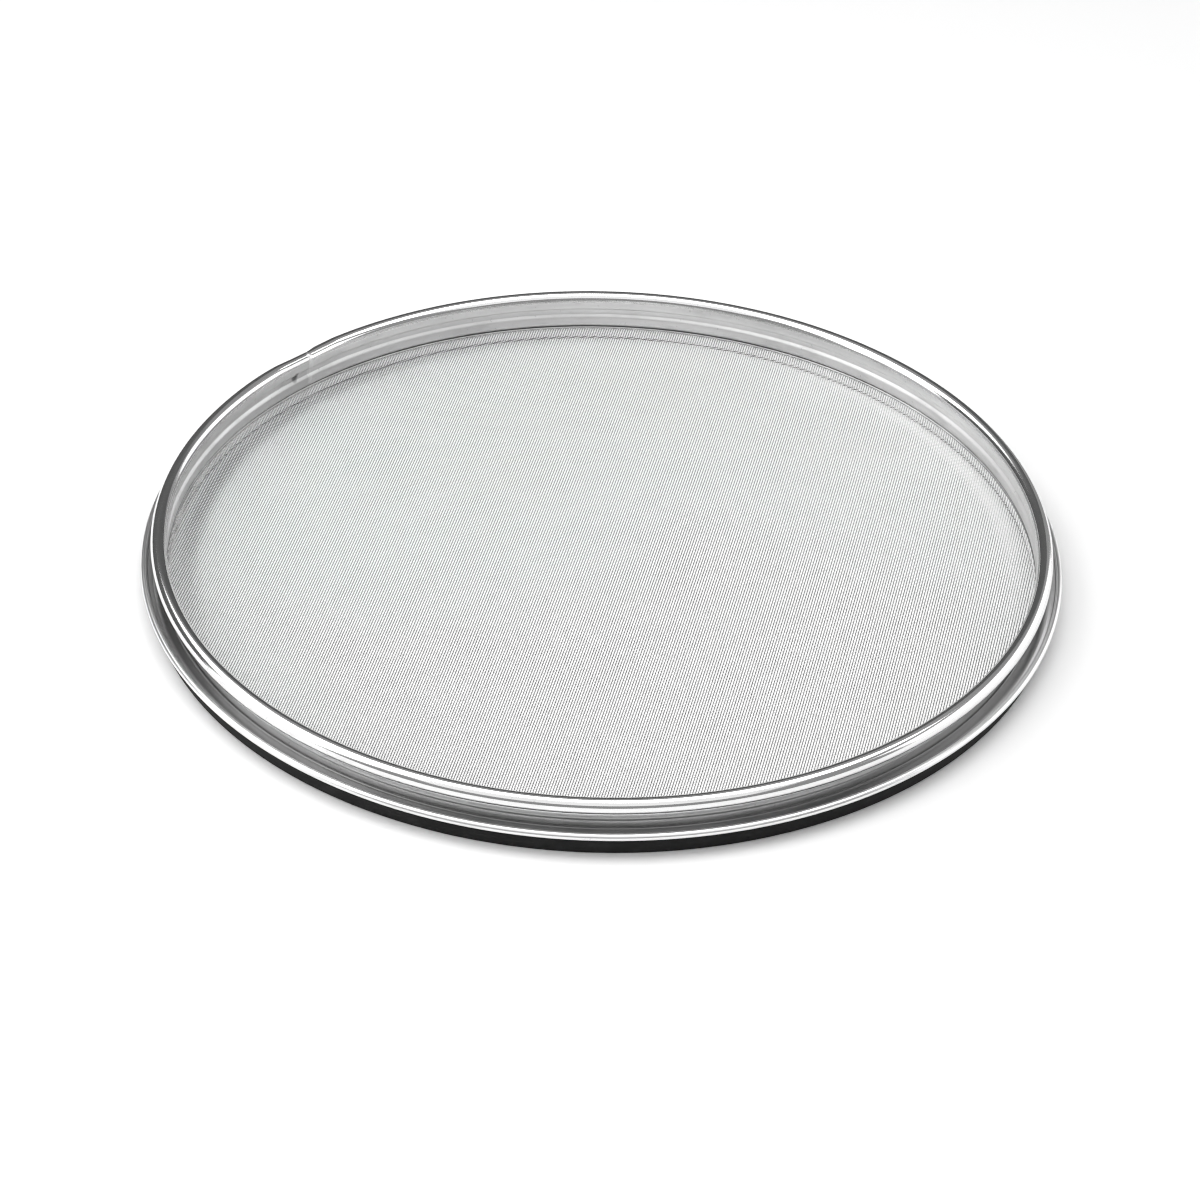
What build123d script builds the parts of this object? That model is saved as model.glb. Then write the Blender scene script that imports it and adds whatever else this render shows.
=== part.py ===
from build123d import *
from math import cos, hypot, radians, sin, sqrt, tan
import os

# Replaceable round sieve: a roll-formed stainless ring with woven wire cloth
# across its foot, a retaining ring that backs the cloth's edge, and a rubber
# seal underneath.
# Millimetres, +Z up. The origin is on the ring's axis, on the surface that
# the seal stands on.

# --- driving dimensions: ring ----------------------------------------------
rim_diameter = 300.0          # outside of the rolled rim
rim_roll = 5.2                # outside diameter of the roll itself
rim_roll_turn = 290.0         # degrees that the rim's sheet is rolled through
sheet = 0.8                   # stainless sheet
ring_height = 13.6            # from the underside of the flange to the top of the rim
shoulder_drop = 5.3           # from the top of the rim down to the start of the shoulder
shoulder_depth = 4.1          # height of the shoulder, its two slopes included
shoulder_step = 1.1           # how far the shoulder stands out from the neck
shoulder_slope = 1.0          # height of each of its slopes
foot_step = 0.3               # how far the foot stands out from the neck
bend_radius = 0.9             # centre line of the shoulder's bends
foot_bend_radius = 1.3        # centre line of the bend into the flange
flange_angle = 30.0           # rise of the flange's outer part
bead_diameter = 2.4           # outside of the rolled bead on the flange's edge
bead_overhang = 3.6           # the bead's reach beyond the rim
bead_rise = 2.8               # bead centre above the underside of the flange
bead_turn = 240.0             # degrees that the bead is rolled through

# --- driving dimensions: butt weld of the ring ------------------------------
seam_azimuth = 136.4          # degrees from +X
seam_width = 1.4
seam_height = 0.1             # how far the weld stands out of the sheet
roll_gap = 0.4                # between the rolled rim's two ends, which aren't welded
dent_azimuth = 139.1          # a small dent in the wall's inner face, beside the weld
dent_rise = 6.0               # above the underside of the flange
dent_width = 2.0
dent_depth = 0.3

# --- driving dimensions: cloth, retaining ring and seal ---------------------
wire_diameter = 0.3           # the cloth is two wires thick
cloth_border = 2.6            # the pressed edge that the ring clamps
cloth_angle = -11.3           # the cloth's wires, in degrees from the row's axes
weave_pitch = 6.0             # spacing of the raised wires
weave_wire = 0.9              # width of a raised wire
cell_count = 4                # raised wires to each open cell, along it and across
cell_side = 15.5              # gives the real cloth's share of open area
retaining_width = 2.2
retaining_height = 3.4
seal_overhang = 0.7           # the seal's reach beyond the rim
seal_width = 5.5
seal_lip = 3.1                # thickness of the lip round the cloth's edge
seal_foot = 1.0               # thickness of the foot under the retaining ring
seal_round = 0.6
seal_clearance = 0.2          # between the lip and the edges of the cloth and the retaining ring

# --- levels and radii that follow ------------------------------------------
retaining_bottom = seal_foot
cloth_bottom = retaining_bottom + retaining_height
cloth_thickness = 2 * wire_diameter
flange_bottom = cloth_bottom + cloth_thickness
rim_top = flange_bottom + ring_height

rim_radius = rim_diameter / 2
roll_line = (rim_roll - sheet) / 2
roll_level = rim_top - rim_roll / 2
neck_line = rim_radius - rim_roll + sheet / 2
shoulder_top = rim_top - shoulder_drop
shoulder_bottom = shoulder_top - shoulder_depth
flange_line = flange_bottom + sheet / 2

bead_line = (bead_diameter - sheet) / 2
bead_centre = (rim_radius + bead_overhang - bead_diameter / 2, flange_bottom + bead_rise)
bead_start = (
    bead_centre[0] + bead_line * sin(radians(flange_angle)),
    bead_centre[1] - bead_line * cos(radians(flange_angle)),
)
flange_edge = bead_start[0] - (bead_start[1] - flange_line) / tan(radians(flange_angle))

dent_ball = ((dent_width / 2) ** 2 + dent_depth**2) / (2 * dent_depth)
dent_reach = neck_line + shoulder_step - sheet / 2 + dent_depth - dent_ball
dent_centre = (
    dent_reach * cos(radians(dent_azimuth)),
    dent_reach * sin(radians(dent_azimuth)),
    flange_bottom + dent_rise,
)

seal_radius = rim_radius + seal_overhang
lip_radius = seal_radius - seal_lip
cloth_radius = lip_radius - seal_clearance
field_radius = cloth_radius - cloth_border
retaining_radius = cloth_radius


def upright_plane(azimuth):
    """Return the plane through the ring's axis whose X points out at this azimuth."""
    turn = radians(azimuth)
    return Plane(origin=(0, 0, 0), x_dir=(cos(turn), sin(turn), 0), z_dir=(sin(turn), -cos(turn), 0))


seam_plane = upright_plane(seam_azimuth)


def draw_wall_line():
    """Draw the centre line of the ring's wall and flange, from the roll to the bead."""
    return FilletPolyline(
        (neck_line, roll_level),
        (neck_line, shoulder_top),
        (neck_line + shoulder_step, shoulder_top - shoulder_slope),
        (neck_line + shoulder_step, shoulder_bottom + shoulder_slope),
        (neck_line + foot_step, shoulder_bottom),
        (neck_line + foot_step, flange_line),
        (flange_edge, flange_line),
        bead_start,
        radius=[bend_radius, bend_radius, bend_radius, bend_radius, foot_bend_radius, bend_radius],
    )


# --- the ring: one strip of sheet, rolled to its section and butt welded ----
with BuildPart() as frame_ring:
    with BuildSketch(Plane.XZ) as ring_section:
        with BuildLine() as ring_line:
            wall = draw_wall_line()
            JernArc(start=wall @ 0, tangent=(0, 1), radius=roll_line, arc_size=-rim_roll_turn)
            JernArc(start=wall @ 1, tangent=wall % 1, radius=bead_line, arc_size=bead_turn)
            offset(amount=sheet / 2)
        make_face()
    revolve(axis=Axis.Z)

    # the butt weld, standing out of both faces of the wall
    with BuildSketch(seam_plane) as seam_section:
        with BuildLine() as seam_line:
            draw_wall_line()
            offset(amount=sheet / 2 + seam_height)
        make_face()
    extrude(amount=seam_width / 2, both=True)

    # the weld is ground flush where the cloth and the seal seat
    with BuildSketch(Plane.XY.offset(flange_bottom)):
        Circle(rim_radius + bead_overhang)
    extrude(amount=-sheet, mode=Mode.SUBTRACT)

    # the rolled rim's ends only meet
    with BuildSketch(seam_plane):
        with Locations((neck_line + sheet / 2, roll_level)):
            Rectangle(rim_roll, rim_roll, align=(Align.MIN, Align.CENTER))
    extrude(amount=roll_gap / 2, both=True, mode=Mode.SUBTRACT)

    # the dent beside the weld
    with Locations(dent_centre):
        Sphere(dent_ball, mode=Mode.SUBTRACT)

frame_ring.part.label = "frame_ring"


# --- the wire cloth: crossed wires raised on a disc, with open cells --------
raised = wire_diameter / 2
cloth_plane = Plane.XY.offset(cloth_bottom).rotated((0, 0, cloth_angle))
wires_across = 2 * int(field_radius / weave_pitch) + 1
cell_pitch = cell_count * weave_pitch
cells_across = int(field_radius / cell_pitch) + 1
cell_shift = weave_pitch / 2  # puts each cell's edges between two raised wires
cell_reach = field_radius - cell_side / sqrt(2)
cell_places = [
    (column * cell_pitch + cell_shift, row * cell_pitch + cell_shift)
    for column in range(-cells_across, cells_across)
    for row in range(-cells_across, cells_across)
    if hypot(column * cell_pitch + cell_shift, row * cell_pitch + cell_shift) < cell_reach
]

with BuildPart() as wire_cloth:
    # the disc that the wires lie in
    with BuildSketch(cloth_plane.offset(raised)):
        Circle(cloth_radius)
    extrude(amount=cloth_thickness - 2 * raised)
    # the pressed border, at the cloth's full thickness
    with BuildSketch(cloth_plane):
        Circle(cloth_radius)
        Circle(field_radius, mode=Mode.SUBTRACT)
    extrude(amount=cloth_thickness)
    # warp wires on the upper face
    with BuildSketch(cloth_plane.offset(cloth_thickness - raised)):
        with GridLocations(weave_pitch, weave_pitch, wires_across, 1):
            Rectangle(weave_wire, 2 * field_radius)
        Circle(field_radius, mode=Mode.INTERSECT)
    extrude(amount=raised)
    # weft wires on the lower face
    with BuildSketch(cloth_plane):
        with GridLocations(weave_pitch, weave_pitch, 1, wires_across):
            Rectangle(2 * field_radius, weave_wire)
        Circle(field_radius, mode=Mode.INTERSECT)
    extrude(amount=raised)
    # the open cells
    with BuildSketch(cloth_plane):
        with Locations(cell_places):
            Rectangle(cell_side, cell_side)
    extrude(amount=cloth_thickness, mode=Mode.SUBTRACT)

wire_cloth.part.label = "wire_cloth"


# --- the retaining ring: an upright hoop under the cloth's edge --------------
with BuildPart() as retaining_ring:
    with BuildSketch(Plane.XY.offset(retaining_bottom)):
        Circle(retaining_radius)
        Circle(retaining_radius - retaining_width, mode=Mode.SUBTRACT)
    extrude(amount=retaining_height)

retaining_ring.part.label = "retaining_ring"


# --- the seal: a rubber ring whose lip closes round the hoop and the cloth ---
with BuildPart() as seal_ring:
    with BuildSketch(Plane.XZ) as seal_section:
        with BuildLine():
            Polyline(
                (seal_radius - seal_width, 0),
                (seal_radius, 0),
                (seal_radius, flange_bottom),
                (lip_radius, flange_bottom),
                (lip_radius, seal_foot),
                (seal_radius - seal_width, seal_foot),
                close=True,
            )
        make_face()
        fillet(seal_section.vertices().group_by(Axis.Y)[0], radius=seal_round)
    revolve(axis=Axis.Z)

seal_ring.part.label = "seal_ring"


# --- one STEP file for each piece -------------------------------------------
os.makedirs("parts", exist_ok=True)
for piece in (frame_ring, wire_cloth, retaining_ring, seal_ring):
    export_step(piece.part, f"parts/{piece.part.label}.step")
    print(piece.part.label, round(piece.part.volume, 1), piece.part.bounding_box())
print("open cells in the cloth", len(cell_places))
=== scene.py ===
"""Dresses the round sieve: rolled frame ring, woven wire cloth, retaining ring and rubber seal."""

import logging
from dataclasses import dataclass, field
from enum import Enum
from math import atan2, cos, degrees, hypot, pi, radians, sin, sqrt, tan
from typing import Callable, Iterable, Optional, Sequence, Union

import bpy
from mathutils import Matrix, Quaternion, Vector


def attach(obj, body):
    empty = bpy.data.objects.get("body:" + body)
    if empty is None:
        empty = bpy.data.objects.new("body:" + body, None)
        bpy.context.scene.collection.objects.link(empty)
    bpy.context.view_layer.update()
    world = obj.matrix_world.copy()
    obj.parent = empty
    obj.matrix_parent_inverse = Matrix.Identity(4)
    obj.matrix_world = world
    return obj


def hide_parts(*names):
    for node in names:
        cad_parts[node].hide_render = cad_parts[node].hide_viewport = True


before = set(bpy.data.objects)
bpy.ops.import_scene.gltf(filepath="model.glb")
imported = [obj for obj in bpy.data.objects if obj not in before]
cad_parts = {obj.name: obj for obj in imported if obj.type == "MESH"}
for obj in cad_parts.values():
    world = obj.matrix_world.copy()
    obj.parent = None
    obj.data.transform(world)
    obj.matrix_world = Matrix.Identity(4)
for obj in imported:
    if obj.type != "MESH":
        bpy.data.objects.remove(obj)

log = logging.getLogger("sieve")

MM = 0.001
Point = tuple[float, float]
Operand = Union["Term", float, int, tuple, bpy.types.NodeSocket]


# --- shader arithmetic --------------------------------------------------------


def feed(socket: bpy.types.NodeSocket, value: Operand) -> None:
    """Put a value on a socket, or link another socket to it.

    Args:
        socket: the input that is fed.
        value: a Term, a socket, a number, or a colour or vector as a tuple.
    """
    if isinstance(value, Term):
        value = value.socket
    if isinstance(value, bpy.types.NodeSocket):
        socket.id_data.links.new(value, socket)
    else:
        socket.default_value = value


class Term:
    """A shader value that takes part in ordinary arithmetic."""

    def __init__(self, socket: bpy.types.NodeSocket) -> None:
        """Wrap one output socket."""
        self.socket = socket

    def math(self, operation: str, *operands: Operand) -> "Term":
        """Add one Math node.

        Args:
            operation: the Math node's operation.
            operands: its values, in order.

        Returns:
            The node's result.
        """
        node = self.socket.id_data.nodes.new("ShaderNodeMath")
        node.operation = operation
        for place, operand in zip(node.inputs, operands):
            feed(place, operand)
        return Term(node.outputs[0])

    def __add__(self, other: Operand) -> "Term":
        """Return self + other."""
        return self.math("ADD", self, other)

    def __radd__(self, other: Operand) -> "Term":
        """Return other + self."""
        return self.math("ADD", other, self)

    def __sub__(self, other: Operand) -> "Term":
        """Return self - other."""
        return self.math("SUBTRACT", self, other)

    def __rsub__(self, other: Operand) -> "Term":
        """Return other - self."""
        return self.math("SUBTRACT", other, self)

    def __mul__(self, other: Operand) -> "Term":
        """Return self * other."""
        return self.math("MULTIPLY", self, other)

    def __rmul__(self, other: Operand) -> "Term":
        """Return other * self."""
        return self.math("MULTIPLY", other, self)

    def __truediv__(self, other: Operand) -> "Term":
        """Return self / other."""
        return self.math("DIVIDE", self, other)

    def __pow__(self, other: Operand) -> "Term":
        """Return self ** other."""
        return self.math("POWER", self, other)

    def cosine(self) -> "Term":
        """Return the cosine of self, in radians."""
        return self.math("COSINE", self)

    def magnitude(self) -> "Term":
        """Return self without its sign."""
        return self.math("ABSOLUTE", self)

    def step(self, low: float, high: float) -> "Term":
        """Turn self into a smooth ramp.

        Args:
            low: where the ramp leaves 0.
            high: where it reaches 1.

        Returns:
            0 below low, 1 above high and the ramp between them.
        """
        node = self.socket.id_data.nodes.new("ShaderNodeMapRange")
        node.interpolation_type = "SMOOTHSTEP"
        for name, value in (("Value", self), ("From Min", low), ("From Max", high)):
            feed(node.inputs[name], value)
        return Term(node.outputs[0])


class Recipe:
    """The node tree of one material, round a single Principled shader."""

    def __init__(self, name: str) -> None:
        """Make an empty material.

        Args:
            name: the material's name.
        """
        self.material = bpy.data.materials.new(name)
        self.material.use_nodes = True
        self.tree = self.material.node_tree
        self.shader = self.tree.nodes["Principled BSDF"]

    def node(
        self,
        kind: str,
        settings: Optional[dict] = None,
        sockets: Optional[dict] = None,
        output: Union[int, str] = 0,
    ) -> Term:
        """Add one node.

        Args:
            kind: the node's type.
            settings: its own properties, set before its sockets.
            sockets: values or links, by the name or the number of the input.
            output: which output to return.

        Returns:
            That output.
        """
        made = self.tree.nodes.new(kind)
        for name, value in (settings or {}).items():
            setattr(made, name, value)
        for name, value in (sockets or {}).items():
            feed(made.inputs[name], value)
        return Term(made.outputs[output])

    def place(self) -> tuple[Term, Term, Term, Term]:
        """Read the point on the object, in metres.

        Returns:
            The point as a vector, and its x, y and z.
        """
        point = self.node("ShaderNodeTexCoord", output="Object")
        parts = [self.node("ShaderNodeSeparateXYZ", sockets={0: point}, output=axis) for axis in "XYZ"]
        return (point, *parts)

    def vector(self, x: Operand, y: Operand, z: Operand) -> Term:
        """Return a vector made of three values."""
        return self.node("ShaderNodeCombineXYZ", sockets={0: x, 1: y, 2: z})

    def noise(self, where: Term, scale: float, detail: float = 3.0, rough: float = 0.55) -> Term:
        """Return noise from 0 to 1.

        Args:
            where: the vector that it is read at.
            scale: its frequency.
            detail: how many octaves it has.
            rough: how strong the finer octaves are.

        Returns:
            The noise.
        """
        sockets = {"Vector": where, "Scale": scale, "Detail": detail, "Roughness": rough}
        return self.node("ShaderNodeTexNoise", sockets=sockets)

    @staticmethod
    def band(value: Term, low: float, rise: float, fall: float, high: float) -> Term:
        """Return 1 between rise and fall, 0 below low and above high, and smooth ramps between them."""
        return value.step(low, rise) * (1.0 - value.step(fall, high))

    def mingle(self, share: Operand, first: Operand, second: Operand) -> Term:
        """Return a colour between two, given as links or with their alpha, by share."""
        return self.node("ShaderNodeMix", {"data_type": "RGBA"}, {0: share, 6: first, 7: second}, output=2)

    def blend(self, share: Operand, first: tuple, second: tuple) -> Term:
        """Return a colour between two that are given without their alpha, by share."""
        return self.mingle(share, (*first, 1.0), (*second, 1.0))

    def bump(self, height: Operand, strength: float = 1.0, distance: float = 1.0) -> None:
        """Tilt the shader's normal by a height, in metres when distance is 1."""
        sockets = {"Height": height, "Strength": strength, "Distance": distance}
        feed(self.shader.inputs["Normal"], self.node("ShaderNodeBump", sockets=sockets))

    def surface(self, **sockets: Operand) -> bpy.types.Material:
        """Set the shader's inputs.

        Args:
            sockets: values or links, by the input's name with _ for a space.

        Returns:
            The material.
        """
        for name, value in sockets.items():
            feed(self.shader.inputs[name.replace("_", " ")], value)
        return self.material


# --- finishes -----------------------------------------------------------------


@dataclass(frozen=True)
class RolledSteel:
    """Stainless sheet that a roll former has drawn round the ring: bright, with streaks along it, and with
    painted shade in the crease at the wall's foot, on the dent and beside the weld.
    """

    name: str = "rolled_steel"
    light: tuple = (0.86, 0.86, 0.86)
    dark: tuple = (0.66, 0.66, 0.66)
    # near-black painted shade in the crease at the wall's foot and on the dent beside the weld, and how
    # strongly it is laid on
    shade_black: tuple = (0.08, 0.08, 0.08, 1.0)
    shade_share: float = 0.85
    gloss: float = 0.28
    weld_gloss: float = 0.15
    bend_gloss: float = 0.3
    roll_gloss: float = -0.15
    streak_height: float = 0.002 * MM
    streak_count: float = 420.0
    seam: float = radians(136.4)
    spot_aside: float = 7.0 * MM
    spot_level: float = 11.8 * MM
    neck_radius: float = 144.8 * MM

    def streaks(self, mix: Recipe, x: Term, y: Term, z: Term, radius: Term) -> Term:
        """Return the streaks that run along the strip, from 0 to 1."""
        across = (z + radius * 1.7) * self.streak_count
        return mix.noise(mix.vector(x * 9.0, y * 9.0, across), 1.0, detail=2.0)

    def weld_marks(self, mix: Recipe, x: Term, y: Term, z: Term) -> tuple[Term, Term, Term]:
        """Mark out the butt weld and what lies beside it.

        Args:
            mix: the material.
            x: the point's place along X, in metres, as y and z are along theirs.
            y: along Y.
            z: along Z.

        Returns:
            The weld's ground strip, the painted shade along one side of it, and the painted shade on the
            dent.
        """
        aside = y * cos(self.seam) - x * sin(self.seam)
        near = (y * sin(self.seam) + x * cos(self.seam)).step(0.0, 0.01)
        weld = (1.0 - aside.magnitude().step(0.3 * MM, 1.1 * MM)) * near
        # painted shade on the wall along one side of the weld
        weld_side_shade = mix.band(aside, 0.4 * MM, 1.4 * MM, 3.0 * MM, 26.0 * MM) * near
        # painted shade on the dent beside the weld
        reach = (aside - self.spot_aside) ** 2.0 + ((z - self.spot_level) * 0.7) ** 2.0
        spot = (1.0 - reach.step((0.3 * MM) ** 2, (1.8 * MM) ** 2)) * near
        return weld, weld_side_shade, spot

    def make(self) -> bpy.types.Material:
        """Make the finish.

        Returns:
            The material.
        """
        mix = Recipe(self.name)
        point, x, y, z = mix.place()
        radius = (x * x + y * y) ** 0.5
        streaks = self.streaks(mix, x, y, z, radius)
        smudges = mix.noise(mix.vector(x, y, z * 2.5), 70.0, detail=4.0).step(0.45, 0.75)
        specks = mix.noise(point, 700.0, detail=1.0).step(0.70, 0.76)
        weld, weld_side_shade, spot = self.weld_marks(mix, x, y, z)
        # the roll is polished, and the bend inside the shoulder is matt
        crown = (z + (radius - self.neck_radius) * 1.5).step(15.6 * MM, 16.4 * MM)
        roll = crown * z.step(12.9 * MM, 13.4 * MM)
        bend = mix.band(z, 8.4 * MM, 9.2 * MM, 10.4 * MM, 11.2 * MM)
        bend = bend * (1.0 - radius.step(145.9 * MM, 146.1 * MM))
        # painted shade in the crease between the wall's foot and the flange, and on the dent beside the
        # weld
        crease = mix.band(z, 5.3 * MM, 5.6 * MM, 6.2 * MM, 7.6 * MM)
        crease = crease * mix.band(radius, 145.7 * MM, 146.0 * MM, 148.5 * MM, 150.5 * MM)
        shaded_places = spot + crease
        painted_shade = shaded_places.math("MINIMUM", shaded_places, 1.0) * self.shade_share
        tone = streaks * 0.5 + smudges * 0.3 + specks * 0.3 + weld_side_shade * 0.45 - weld * 0.3
        clean = mix.blend(tone.step(0.15, 0.95), self.light, self.dark)
        matt = smudges * 0.04 + weld * self.weld_gloss + bend * self.bend_gloss + roll * self.roll_gloss
        mix.bump(streaks * self.streak_height)
        return mix.surface(
            Base_Color=mix.mingle(painted_shade, clean, self.shade_black),
            Metallic=1.0,
            Roughness=matt + self.gloss,
        )


@dataclass(frozen=True)
class WireSteel:
    """Drawn stainless wire, with a faint rise and fall where it crosses its neighbours, and painted shade
    and painted highlight on the fold near the cloth's border.
    """

    pitch: float
    turn: float
    crimp: float
    name: str = "cloth_wire_steel"
    light: tuple = (0.44, 0.44, 0.44)
    dark: tuple = (0.34, 0.34, 0.34)
    metal: float = 1.0
    # painted shade and painted highlight on the fold, as its slope would catch the light, and how strongly
    # each is laid on
    fold_painted_shade: tuple = (0.05, 0.05, 0.05, 1.0)
    fold_painted_highlight: tuple = (0.9, 0.9, 0.9, 1.0)
    painted_shade_share: float = 0.5
    painted_highlight_share: float = 0.7

    def make(self) -> bpy.types.Material:
        """Make the finish.

        Returns:
            The material.
        """
        mix = Recipe(self.name)
        point, x, y, _ = mix.place()
        across = x * cos(self.turn) + y * sin(self.turn)
        along = y * cos(self.turn) - x * sin(self.turn)
        wave = (across * (pi / self.pitch)).cosine() * (along * (pi / self.pitch)).cosine()
        patches = mix.noise(point, 60.0, detail=4.0)
        # painted shade on the fold that dishes the cloth at the rear left, and painted highlight on it at
        # the rear right, as its slope would catch the light
        radius = (x * x + y * y) ** 0.5
        fold = mix.band(radius, 133.0 * MM, 138.0 * MM, 138.5 * MM, 143.5 * MM)
        side = fold * y.step(-60.0 * MM, 40.0 * MM) * x / radius
        base = mix.blend(patches.step(0.25, 0.75), self.light, self.dark)
        base = mix.mingle(side * -self.painted_shade_share, base, self.fold_painted_shade)
        mix.bump(wave * self.crimp)
        return mix.surface(
            Base_Color=mix.mingle(side * self.painted_highlight_share, base, self.fold_painted_highlight),
            Metallic=self.metal,
            Roughness=0.28 + patches * 0.14,
        )


@dataclass(frozen=True)
class SealRubber:
    """Black moulded rubber with a faint bloom."""

    name: str = "seal_rubber"
    black: tuple = (0.006, 0.006, 0.006)
    bloom: tuple = (0.018, 0.018, 0.018)

    def make(self) -> bpy.types.Material:
        """Make the finish.

        Returns:
            The material.
        """
        mix = Recipe(self.name)
        point = mix.place()[0]
        cloud = mix.noise(point, 140.0, detail=5.0)
        grain = mix.noise(point, 2600.0, detail=2.0)
        mix.bump(grain * (0.03 * MM) + cloud * (0.05 * MM))
        return mix.surface(
            Base_Color=mix.blend(cloud.step(0.45, 0.8), self.black, self.bloom),
            Roughness=0.52 + cloud * 0.18,
            IOR=1.33,
        )


@dataclass(frozen=True)
class FloorPaper:
    """The white paper that the sieve stands on."""

    name: str = "floor_paper"
    white: float = 0.92

    def make(self) -> bpy.types.Material:
        """Make the finish.

        Returns:
            The material.
        """
        mix = Recipe(self.name)
        return mix.surface(Base_Color=(self.white, self.white, self.white, 1.0), Roughness=0.9)


# --- outlines and meshes ------------------------------------------------------


@dataclass
class SheetLine:
    """The centre line of a strip of sheet, as points in a plane of radius and level, in millimetres."""

    points: list[Point] = field(default_factory=list)
    run_step: float = 0.7

    def run_to(self, end: Point) -> None:
        """Go straight to a point, in steps.

        Args:
            end: the point.
        """
        start = self.points[-1]
        length = hypot(end[0] - start[0], end[1] - start[1])
        count = max(1, round(length / self.run_step))
        for step in range(1, count + 1):
            share = step / count
            self.points.append(tuple(a + (b - a) * share for a, b in zip(start, end)))

    def turn(self, centre: Point, angle: float, count: int) -> None:
        """Go round a centre.

        Args:
            centre: the arc's centre.
            angle: how far round, in degrees, anticlockwise if positive.
            count: how many steps it is drawn in.
        """
        start = self.points[-1]
        reach = hypot(start[0] - centre[0], start[1] - centre[1])
        first = atan2(start[1] - centre[1], start[0] - centre[0])
        for step in range(1, count + 1):
            at = first + radians(angle) * step / count
            self.points.append((centre[0] + reach * cos(at), centre[1] + reach * sin(at)))

    def follow(self, corners: Sequence[Point], bends: Sequence[float], bend_steps: int = 4) -> None:
        """Go along a chain of corners with each inner one rounded.

        Args:
            corners: the corners, the last of which is the end.
            bends: the radius at each corner but the last.
            bend_steps: how many steps each bend is drawn in.
        """
        for place, bend in enumerate(bends):
            before, corner, after = self.points[-1], corners[place], corners[place + 1]
            arriving = (Vector(corner) - Vector(before)).normalized()
            leaving = (Vector(after) - Vector(corner)).normalized()
            angle = arriving.angle_signed(leaving)
            back = bend * tan(abs(angle) / 2)
            entry = Vector(corner) - arriving * back
            side = -1.0 if angle > 0 else 1.0
            centre = entry + Vector((-arriving.y, arriving.x)) * bend * side
            self.run_to(tuple(entry))
            self.turn(tuple(centre), degrees(-angle), bend_steps)
        self.run_to(corners[-1])

    def thicken(self, sheet: float, cap_steps: int = 4) -> list[Point]:
        """Return the closed outline of a sheet along this line.

        Args:
            sheet: the sheet's thickness.
            cap_steps: how many steps each rounded end is drawn in.

        Returns:
            The outline's points, in order.
        """
        points, half = self.points, sheet / 2
        normals = []
        for place in range(len(points)):
            before, after = points[max(place - 1, 0)], points[min(place + 1, len(points) - 1)]
            way = Vector(after) - Vector(before)
            normals.append(Vector((-way.y, way.x)).normalized())
        left = [tuple(Vector(p) + n * half) for p, n in zip(points, normals)]
        right = [tuple(Vector(p) - n * half) for p, n in zip(points, normals)]
        far_cap = self._cap(points[-1], normals[-1], half, cap_steps)
        near_cap = self._cap(points[0], -normals[0], half, cap_steps)
        return left + far_cap + right[::-1] + near_cap

    @staticmethod
    def _cap(end: Point, normal: Vector, half: float, steps: int) -> list[Point]:
        """Round off one end of the sheet.

        Args:
            end: the line's last point there.
            normal: the way from the line to the face that the round starts at.
            half: half the sheet's thickness.
            steps: how many steps the round is drawn in.

        Returns:
            The round's points, from +normal to -normal, without its ends.
        """
        first = atan2(normal.y, normal.x)
        turns = [first - pi * step / steps for step in range(1, steps)]
        return [(end[0] + half * cos(turn), end[1] + half * sin(turn)) for turn in turns]


def make_object(name: str, vertices: list, faces: list, material: bpy.types.Material) -> bpy.types.Object:
    """Make a smooth-shaded object.

    Args:
        name: the piece's name.
        vertices: its points, in millimetres.
        faces: its faces, as indices.
        material: its finish.

    Returns:
        The object, linked to the scene.
    """
    mesh = bpy.data.meshes.new(name)
    mesh.from_pydata([tuple(value * MM for value in vertex) for vertex in vertices], [], faces)
    mesh.shade_smooth()
    mesh.materials.append(material)
    mesh.validate()
    piece = bpy.data.objects.new(name, mesh)
    bpy.context.collection.objects.link(piece)
    return piece


def lathe(
    outline: Sequence[Point],
    azimuths: Sequence[float],
    shape: Callable[[float, float, float], Point],
) -> tuple[list, list]:
    """Turn a closed outline round the axis.

    Args:
        outline: points of radius and level, in millimetres.
        azimuths: where the outline is repeated, in degrees.
        shape: gives the real radius and level from azimuth, radius and level.

    Returns:
        The vertices and the faces.
    """
    vertices = []
    for azimuth in azimuths:
        way = (cos(radians(azimuth)), sin(radians(azimuth)))
        for radius, level in outline:
            radius, level = shape(azimuth, radius, level)
            vertices.append((radius * way[0], radius * way[1], level))
    across, round_count = len(outline), len(azimuths)
    faces = []
    for ring in range(round_count):
        here, there = ring * across, (ring + 1) % round_count * across
        for place in range(across):
            after = (place + 1) % across
            faces.append((here + place, here + after, there + after, there + place))
    return vertices, faces


def as_drawn(_: float, radius: float, level: float) -> Point:
    """Return a point of a section that is the same all round."""
    return radius, level


def ease(value: float, low: float, high: float) -> float:
    """Return 0 below low, 1 above high and a smooth ramp between them."""
    share = min(max((value - low) / (high - low), 0.0), 1.0)
    return share * share * (3 - 2 * share)


# --- the pieces ---------------------------------------------------------------


@dataclass
class Levels:
    """Heights that the pieces share, in millimetres above the floor."""

    cloth_bottom: float = 4.4
    flange_bottom: float = 5.0
    rim_top: float = 18.6


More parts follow.
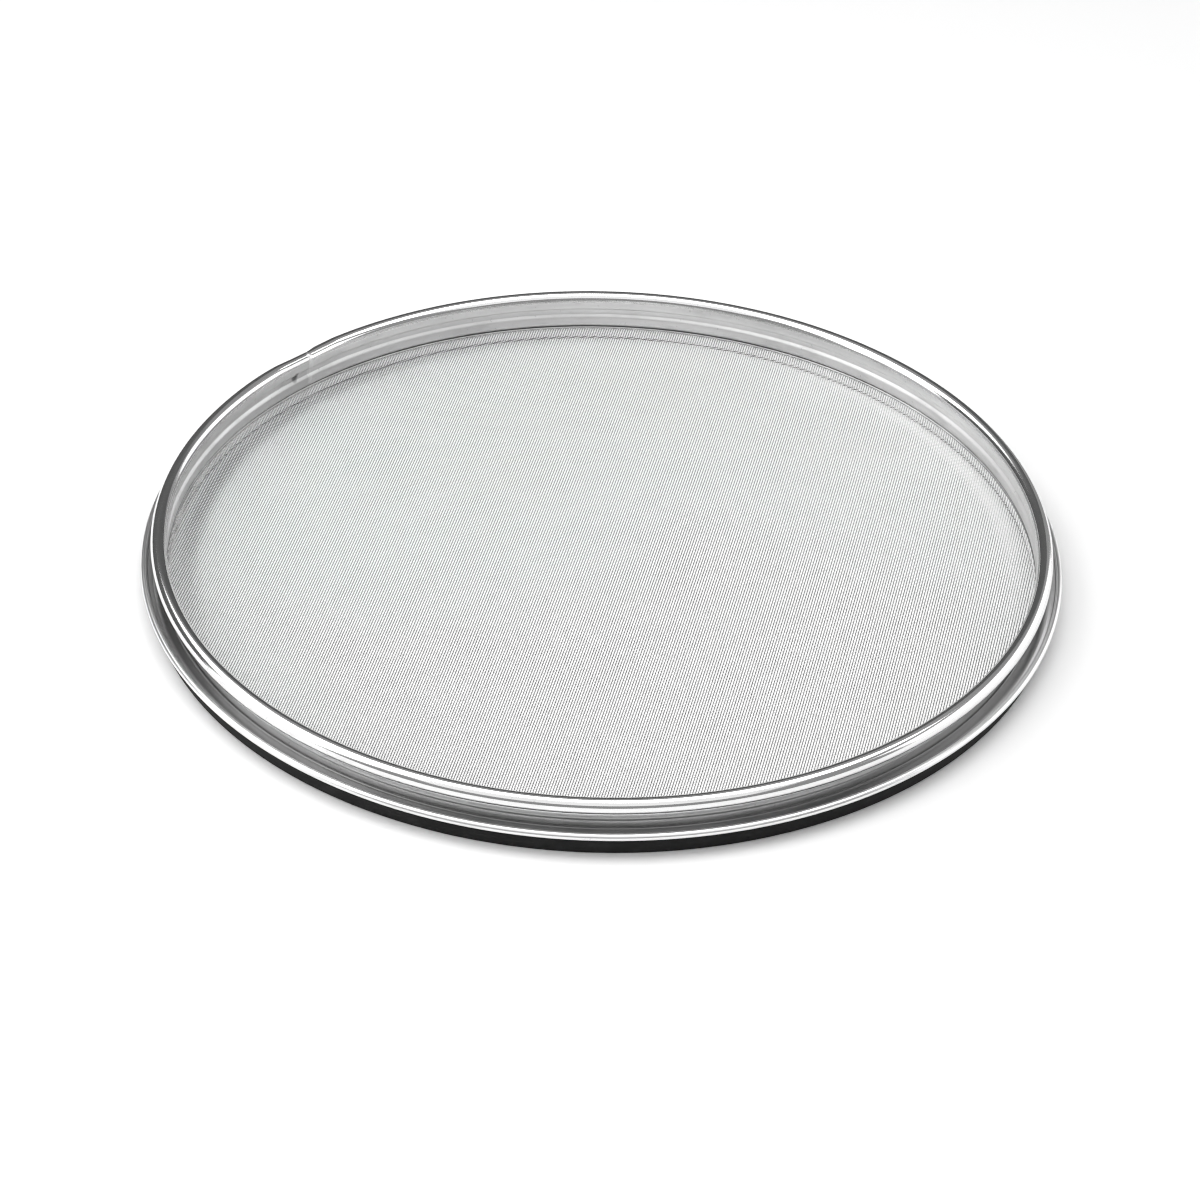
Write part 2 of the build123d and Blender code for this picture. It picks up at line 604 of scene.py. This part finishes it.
@dataclass
class FrameRing:
    """The ring: a roll-formed strip with a rolled rim, a shoulder, a flange and a beaded edge."""

    levels: Levels
    rim_radius: float = 150.0
    rim_roll: float = 5.2
    rim_roll_turn: float = 290.0
    sheet: float = 0.8
    shoulder_drop: float = 5.3
    shoulder_depth: float = 4.1
    shoulder_step: float = 1.1
    shoulder_slope: float = 1.0
    foot_step: float = 0.3
    bend_radius: float = 0.9
    foot_bend_radius: float = 1.3
    flange_angle: float = 30.0
    bead_diameter: float = 2.4
    bead_overhang: float = 3.6
    bead_rise: float = 2.8
    bead_turn: float = 240.0
    seam_azimuth: float = 136.4
    seam_width: float = 1.4
    seam_height: float = 0.1
    flat_half_angle: float = 5.2
    pinch: float = 0.25
    pinch_inward: float = 2.0
    pinch_down: float = 0.9
    pinch_before: float = 2.2
    pinch_after: float = 9.0
    dent_azimuth: float = 139.1
    dent_level: float = 11.0
    dent_width: float = 2.0
    dent_depth: float = 0.3

    def outline(self) -> list[Point]:
        """Draw the section.

        Returns:
            Its closed outline.
        """
        line = (self.rim_roll - self.sheet) / 2
        neck = self.rim_radius - self.rim_roll + self.sheet / 2
        roll_level = self.levels.rim_top - self.rim_roll / 2
        top = self.levels.rim_top - self.shoulder_drop
        bottom = top - self.shoulder_depth
        flange = self.levels.flange_bottom + self.sheet / 2
        bead = (self.bead_diameter - self.sheet) / 2
        slope = radians(self.flange_angle)
        bead_centre = (
            self.rim_radius + self.bead_overhang - self.bead_diameter / 2,
            self.levels.flange_bottom + self.bead_rise,
        )
        bead_start = (bead_centre[0] + bead * sin(slope), bead_centre[1] - bead * cos(slope))
        edge = bead_start[0] - (bead_start[1] - flange) / tan(slope)

        section = SheetLine()
        roll_centre = (neck + line, roll_level)
        lead = radians(self.rim_roll_turn)
        section.points.append((roll_centre[0] - line * cos(lead), roll_centre[1] + line * sin(lead)))
        section.turn(roll_centre, self.rim_roll_turn, 26)
        section.follow(
            [
                (neck, top),
                (neck + self.shoulder_step, top - self.shoulder_slope),
                (neck + self.shoulder_step, bottom + self.shoulder_slope),
                (neck + self.foot_step, bottom),
                (neck + self.foot_step, flange),
                (edge, flange),
                bead_start,
            ],
            [self.bend_radius] * 4 + [self.foot_bend_radius, self.bend_radius],
        )
        section.turn(bead_centre, self.bead_turn, 14)
        return section.thicken(self.sheet)

    def azimuths(self) -> list[float]:
        """Choose where the section is repeated, closer together near the weld.

        Returns:
            The azimuths, in degrees.
        """
        coarse, fine, reach = 1.0, 0.14, 4.2
        fine_steps = round(reach / fine)
        places = [self.seam_azimuth + step * fine for step in range(-fine_steps, fine_steps + 1)]
        count = round((360 - 2 * reach) / coarse)
        start, gap = self.seam_azimuth + reach, (360 - 2 * reach) / count
        return places + [start + step * gap for step in range(1, count)]

    def shape(self, azimuth: float, radius: float, level: float) -> Point:
        """Move a point of the section to where it really lies at this azimuth.

        Args:
            azimuth: in degrees.
            radius: the section's own radius there.
            level: the section's own level there.

        Returns:
            The radius and the level.
        """
        off = (azimuth - self.seam_azimuth + 180) % 360 - 180
        roll_level = self.levels.rim_top - self.rim_roll / 2
        neck = self.rim_radius - self.rim_roll + self.sheet / 2
        # the rolled rim is pinched where its two ends meet
        pinch = self.pinch * (1 - ease(abs(off), 0.1, self.pinch_after if off > 0 else self.pinch_before))
        outside = ease(radius, neck + 0.5, self.rim_radius)
        outside *= ease(level, roll_level - self.rim_roll, roll_level)
        radius -= pinch * outside * self.pinch_inward
        level -= pinch * outside * self.pinch_down
        # the ring is flat for a little way on each side of the weld
        if abs(off) < self.flat_half_angle:
            chord = cos(radians(self.flat_half_angle)) / cos(radians(off))
            lifted = ease(level, self.levels.flange_bottom + 0.6, roll_level)
            radius *= 1 - (1 - chord) * lifted
        # the weld stands out of the wall's inner face, above the foot
        rise = level - self.levels.flange_bottom
        inner = ease(self.rim_radius - radius, 3.0, 4.2) * ease(rise, 1.0, 2.6)
        weld = self.seam_height * (1 - ease(abs(off) * radians(1) * radius, 0.2, self.seam_width / 2))
        radius -= weld * inner
        # the dent beside the weld
        aside = (azimuth - self.dent_azimuth) * radians(1) * radius
        near = hypot(aside / 1.3, level - self.dent_level) / (self.dent_width / 2)
        if near < 1.0 and inner > 0.0:
            radius += self.dent_depth * (1 - near * near) ** 2 * inner
        return radius, level

    def build(self) -> bpy.types.Object:
        """Make the ring.

        Returns:
            The piece, which replaces its solid.
        """
        vertices, faces = lathe(self.outline(), self.azimuths(), self.shape)
        piece = make_object("rolled_frame_ring", vertices, faces, RolledSteel().make())
        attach(piece, "root")
        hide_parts("frame_ring")
        return piece


@dataclass
class WireCloth:
    """The cloth: two crossed layers of wire, let into a pressed border that the ring clamps."""

    levels: Levels
    wire_diameter: float = 0.3
    pitch: float = 0.847
    turn: float = -11.3
    cloth_radius: float = 147.4
    border_radius: float = 145.2
    field_radius: float = 145.4
    crimp_height: float = 0.02
    dish_depth: float = 0.55
    dish_outer: float = 143.0
    dish_inner: float = 134.0
    dish_radii: tuple = (143.0, 140.8, 138.6, 136.3, 134.0)
    segment: float = 22.0
    sides: int = 6

    def dish(self, x: float, y: float) -> float:
        """Return how far the cloth sags at a point, in millimetres."""
        return -self.dish_depth * (1 - ease(hypot(x, y), self.dish_inner, self.dish_outer))

    def stations(self, off: float) -> list[float]:
        """Say where a wire at this distance from the centre has its rings of points.

        Args:
            off: the wire's distance from the centre line.

        Returns:
            Distances along it, from end to end.
        """
        places = {sqrt(self.field_radius**2 - off**2)}
        for radius in self.dish_radii:
            if radius > abs(off):
                places.add(sqrt(radius**2 - off**2))
        half = sorted(places)
        count = max(1, round(2 * half[0] / self.segment))
        middle = [half[0] * (2 * step / count - 1) for step in range(1, count)]
        return [-place for place in reversed(half)] + middle + half

    def add_wire(self, vertices: list, faces: list, off: float, upper: bool) -> None:
        """Add one wire to the mesh.

        Args:
            vertices: the mesh's points, added to.
            faces: the mesh's faces, added to.
            off: the wire's distance from the centre line.
            upper: whether it is one of the upper layer, which runs from front to back.
        """
        half = self.wire_diameter / 2
        level = self.levels.cloth_bottom + half + (self.wire_diameter if upper else 0.0)
        turn = radians(self.turn)
        first = len(vertices)
        places = self.stations(off)
        spokes = [2 * pi * (side + 0.5) / self.sides for side in range(self.sides)]
        corners = [(half * cos(spoke), half * sin(spoke)) for spoke in spokes]
        for place in places:
            for aside, up in corners:
                u, v = (off + aside, place) if upper else (place, off + aside)
                x, y = u * cos(turn) - v * sin(turn), u * sin(turn) + v * cos(turn)
                vertices.append((x, y, level + up + self.dish(x, y)))
        for place in range(len(places) - 1):
            here, there = first + place * self.sides, first + (place + 1) * self.sides
            for side in range(self.sides):
                after = (side + 1) % self.sides
                face = (here + side, here + after, there + after, there + side)
                faces.append(face[::-1] if upper else face)
        last = len(vertices)
        ends = [tuple(range(first, first + self.sides)), tuple(range(last - self.sides, last))]
        faces.extend(ends if upper else [end[::-1] for end in ends])

    def build(self) -> bpy.types.Object:
        """Make the cloth.

        Returns:
            The piece, which replaces its solid.
        """
        low, high = self.levels.cloth_bottom, self.levels.cloth_bottom + 2 * self.wire_diameter
        border = [
            (self.border_radius, low),
            (self.cloth_radius, low),
            (self.cloth_radius, high),
            (self.border_radius, high),
        ]
        vertices, faces = lathe(border, range(360), as_drawn)
        count = int(self.field_radius / self.pitch)
        for upper in (True, False):
            split = len(faces)
            for number in range(-count, count + 1):
                self.add_wire(vertices, faces, number * self.pitch, upper)
        weave = (self.pitch * MM, radians(self.turn), self.crimp_height * MM)
        # the weft is a lighter, half-metal copy of the warp's steel: painted light for how the light falls
        # on the two layers, with the warp the darker copy
        finish = WireSteel(*weave)
        bright = (0.88, 0.88, 0.88)
        under = WireSteel(*weave, name="cloth_weft_steel_painted_light", light=bright, dark=bright, metal=0.5)
        piece = make_object("woven_wire_cloth", vertices, faces, finish.make())
        piece.data.materials.append(under.make())
        for face in piece.data.polygons[split:]:
            face.material_index = 1
        # the floor under the cloth stays bright
        piece.visible_shadow = False
        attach(piece, "root")
        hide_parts("wire_cloth")
        return piece


@dataclass
class RetainingRing:
    """The upright hoop under the cloth's edge."""

    levels: Levels
    outer: float = 147.4
    width: float = 2.2
    foot: float = 1.0
    edge: float = 0.2

    def build(self) -> bpy.types.Object:
        """Make the hoop, with its edges broken.

        Returns:
            The piece, which replaces its solid.
        """
        inner, top, cut = self.outer - self.width, self.levels.cloth_bottom, self.edge
        corners = [(self.outer, self.foot), (self.outer, top), (inner, top), (inner, self.foot)]
        outline = []
        for radius, level in corners:
            in_r = -cut if radius == self.outer else cut
            in_z = cut if level == self.foot else -cut
            pair = [(radius + in_r, level), (radius, level + in_z)]
            outline += pair if (radius == self.outer) == (level == self.foot) else pair[::-1]
        vertices, faces = lathe(outline, range(360), as_drawn)
        finish = RolledSteel("retaining_steel", gloss=0.36)
        piece = make_object("retaining_hoop", vertices, faces, finish.make())
        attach(piece, "root")
        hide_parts("retaining_ring")
        return piece


@dataclass
class SealRing:
    """The rubber ring whose lip closes round the hoop and the cloth."""

    levels: Levels
    outer: float = 150.7
    width: float = 5.5
    lip: float = 3.1
    foot: float = 1.0
    corner: float = 0.6
    corner_steps: int = 5
    top_edge: float = 0.15

    def build(self) -> bpy.types.Object:
        """Make the seal.

        Returns:
            The piece, which replaces its solid.
        """
        inner = self.outer - self.width
        line = SheetLine([(inner, self.corner)])
        line.turn((inner + self.corner, self.corner), 90.0, self.corner_steps)
        line.run_to((self.outer - self.corner, 0.0))
        line.turn((self.outer - self.corner, self.corner), 90.0, self.corner_steps)
        top, lip = self.levels.flange_bottom, self.outer - self.lip
        rise = [(self.outer, top - self.top_edge), (self.outer - self.top_edge, top)]
        outline = line.points + rise + [(lip, top), (lip, self.foot), (inner, self.foot)]
        vertices, faces = lathe(outline, range(360), as_drawn)
        piece = make_object("rubber_seal", vertices, faces, SealRubber().make())
        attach(piece, "root")
        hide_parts("seal_ring")
        return piece


# --- the studio ---------------------------------------------------------------


class Side(Enum):
    """Which way a soft light stands from the sieve."""

    TOP = (0.0, 0.06, 1.0)
    LEFT = (-0.84, 0.12, 0.50)
    RIGHT = (0.92, 0.25, 0.30)
    FRONT = (0.0, -0.55, 0.83)


@dataclass
class Softbox:
    """A rectangular soft light that looks at the sieve."""

    side: Side
    distance: float
    width: float
    depth: float
    power: float
    only_mirrored: bool = False

    def build(self) -> bpy.types.Object:
        """Make the light.

        Returns:
            The light, linked to the scene.
        """
        lamp = bpy.data.lights.new(f"softbox_{self.side.name.lower()}", "AREA")
        lamp.shape = "RECTANGLE"
        lamp.size, lamp.size_y, lamp.energy = self.width, self.depth, self.power
        light = bpy.data.objects.new(lamp.name, lamp)
        way = Vector(self.side.value).normalized()
        light.location = way * self.distance
        light.rotation_euler = way.to_track_quat("Z", "Y").to_euler()
        light.visible_diffuse = not self.only_mirrored
        bpy.context.collection.objects.link(light)
        return light


@dataclass
class DarkCard:
    """A dark card behind the sieve, which gives the steel dark edges and isn't seen by the camera."""

    plan: tuple = ((-1.3, 0.15), (-0.70, 0.74), (0.35, 0.74))
    height: float = 0.64
    black: float = 0.08

    def build(self) -> bpy.types.Object:
        """Make the card.

        Returns:
            The card, linked to the scene.
        """
        colour = (self.black, self.black, self.black, 1.0)
        finish = Recipe("black_card").surface(Base_Color=colour, Roughness=1.0)
        corners = [(x / MM, y / MM, z / MM) for z in (0.0, self.height) for x, y in self.plan]
        count = len(self.plan)
        faces = [(side, side + 1, side + 1 + count, side + count) for side in range(count - 1)]
        card = make_object("black_card", corners, faces, finish)
        card.visible_camera = False
        return card


@dataclass
class StudioCamera:
    """The camera, placed by where the middle of the rim's top lies in the picture."""

    aim_level: float
    elevation: float = 34.64
    roll: float = 1.59
    distance: float = 1.366
    focal: float = 4100.0
    picture: float = 1200.0
    aim_spot: Point = (602.7, 523.4)
    sensor: float = 36.0

    def build(self) -> bpy.types.Object:
        """Make the camera and give it to the scene.

        Returns:
            The camera.
        """
        lens = bpy.data.cameras.new("studio_camera")
        lens.sensor_width = self.sensor
        lens.lens = self.sensor * self.focal / self.picture
        lens.clip_end = 50.0
        tilt = radians(self.elevation)
        back = Vector((0.0, -cos(tilt), sin(tilt)))
        right = Vector((1.0, 0.0, 0.0))
        level = Matrix((right, back.cross(right), back))
        middle = self.picture / 2
        aside, up = self.aim_spot[0] - middle, middle - self.aim_spot[1]
        spot = Vector((aside / self.focal, up / self.focal, -1.0))
        spot.normalize()
        swing = Vector((0.0, 0.0, -1.0)).rotation_difference(spot).to_matrix()
        lean = Quaternion(spot, radians(self.roll)).to_matrix()
        facing = (lean @ swing @ level).transposed().to_4x4()
        camera = bpy.data.objects.new("studio_camera", lens)
        stand = Vector((0, 0, self.aim_level)) + back * self.distance
        camera.matrix_world = Matrix.Translation(stand) @ facing
        bpy.context.collection.objects.link(camera)
        bpy.context.scene.camera = camera
        return camera


@dataclass
class Studio:
    """The white floor, the soft lights, the dark card and the dim room round them."""

    room: float = 0.29
    floor_half: float = 3.0
    lights: tuple = (
        Softbox(Side.TOP, 1.5, 2.4, 1.0, 18.5),
        Softbox(Side.LEFT, 1.6, 2.4, 1.8, 23.5),
        Softbox(Side.RIGHT, 1.5, 1.9, 1.1, 8.0, only_mirrored=True),
        Softbox(Side.FRONT, 2.0, 2.8, 1.8, 11.0),
    )

    def build(self) -> None:
        """Make the floor, the card, the lights and the world."""
        half = self.floor_half / MM
        corners = [(-half, -half, 0.0), (half, -half, 0.0), (half, half, 0.0), (-half, half, 0.0)]
        floor = make_object("floor", corners, [(0, 1, 2, 3)], FloorPaper().make())
        DarkCard().build()
        for light in self.lights:
            light.build()
        world = bpy.data.worlds.new("room")
        world.use_nodes = True
        feed(world.node_tree.nodes["Background"].inputs["Color"], (self.room, self.room, self.room, 1.0))
        bpy.context.scene.world = world
        bpy.context.scene.view_settings.view_transform = "Standard"
        bpy.context.scene.cycles.denoising_prefilter = "NONE"
        bpy.context.scene.cycles.filter_width = 1.1


def main() -> None:
    """Build the sieve and its studio, and report each piece."""
    logging.basicConfig(level=logging.INFO, format="%(name)s: %(message)s")
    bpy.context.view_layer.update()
    levels = Levels()
    StudioCamera(levels.rim_top * MM).build()
    Studio().build()
    for part in (FrameRing, WireCloth, RetainingRing, SealRing):
        piece = part(levels).build()
        log.info("%s: %d faces", piece.name, len(piece.data.polygons))


if __name__ == "__main__":
    main()
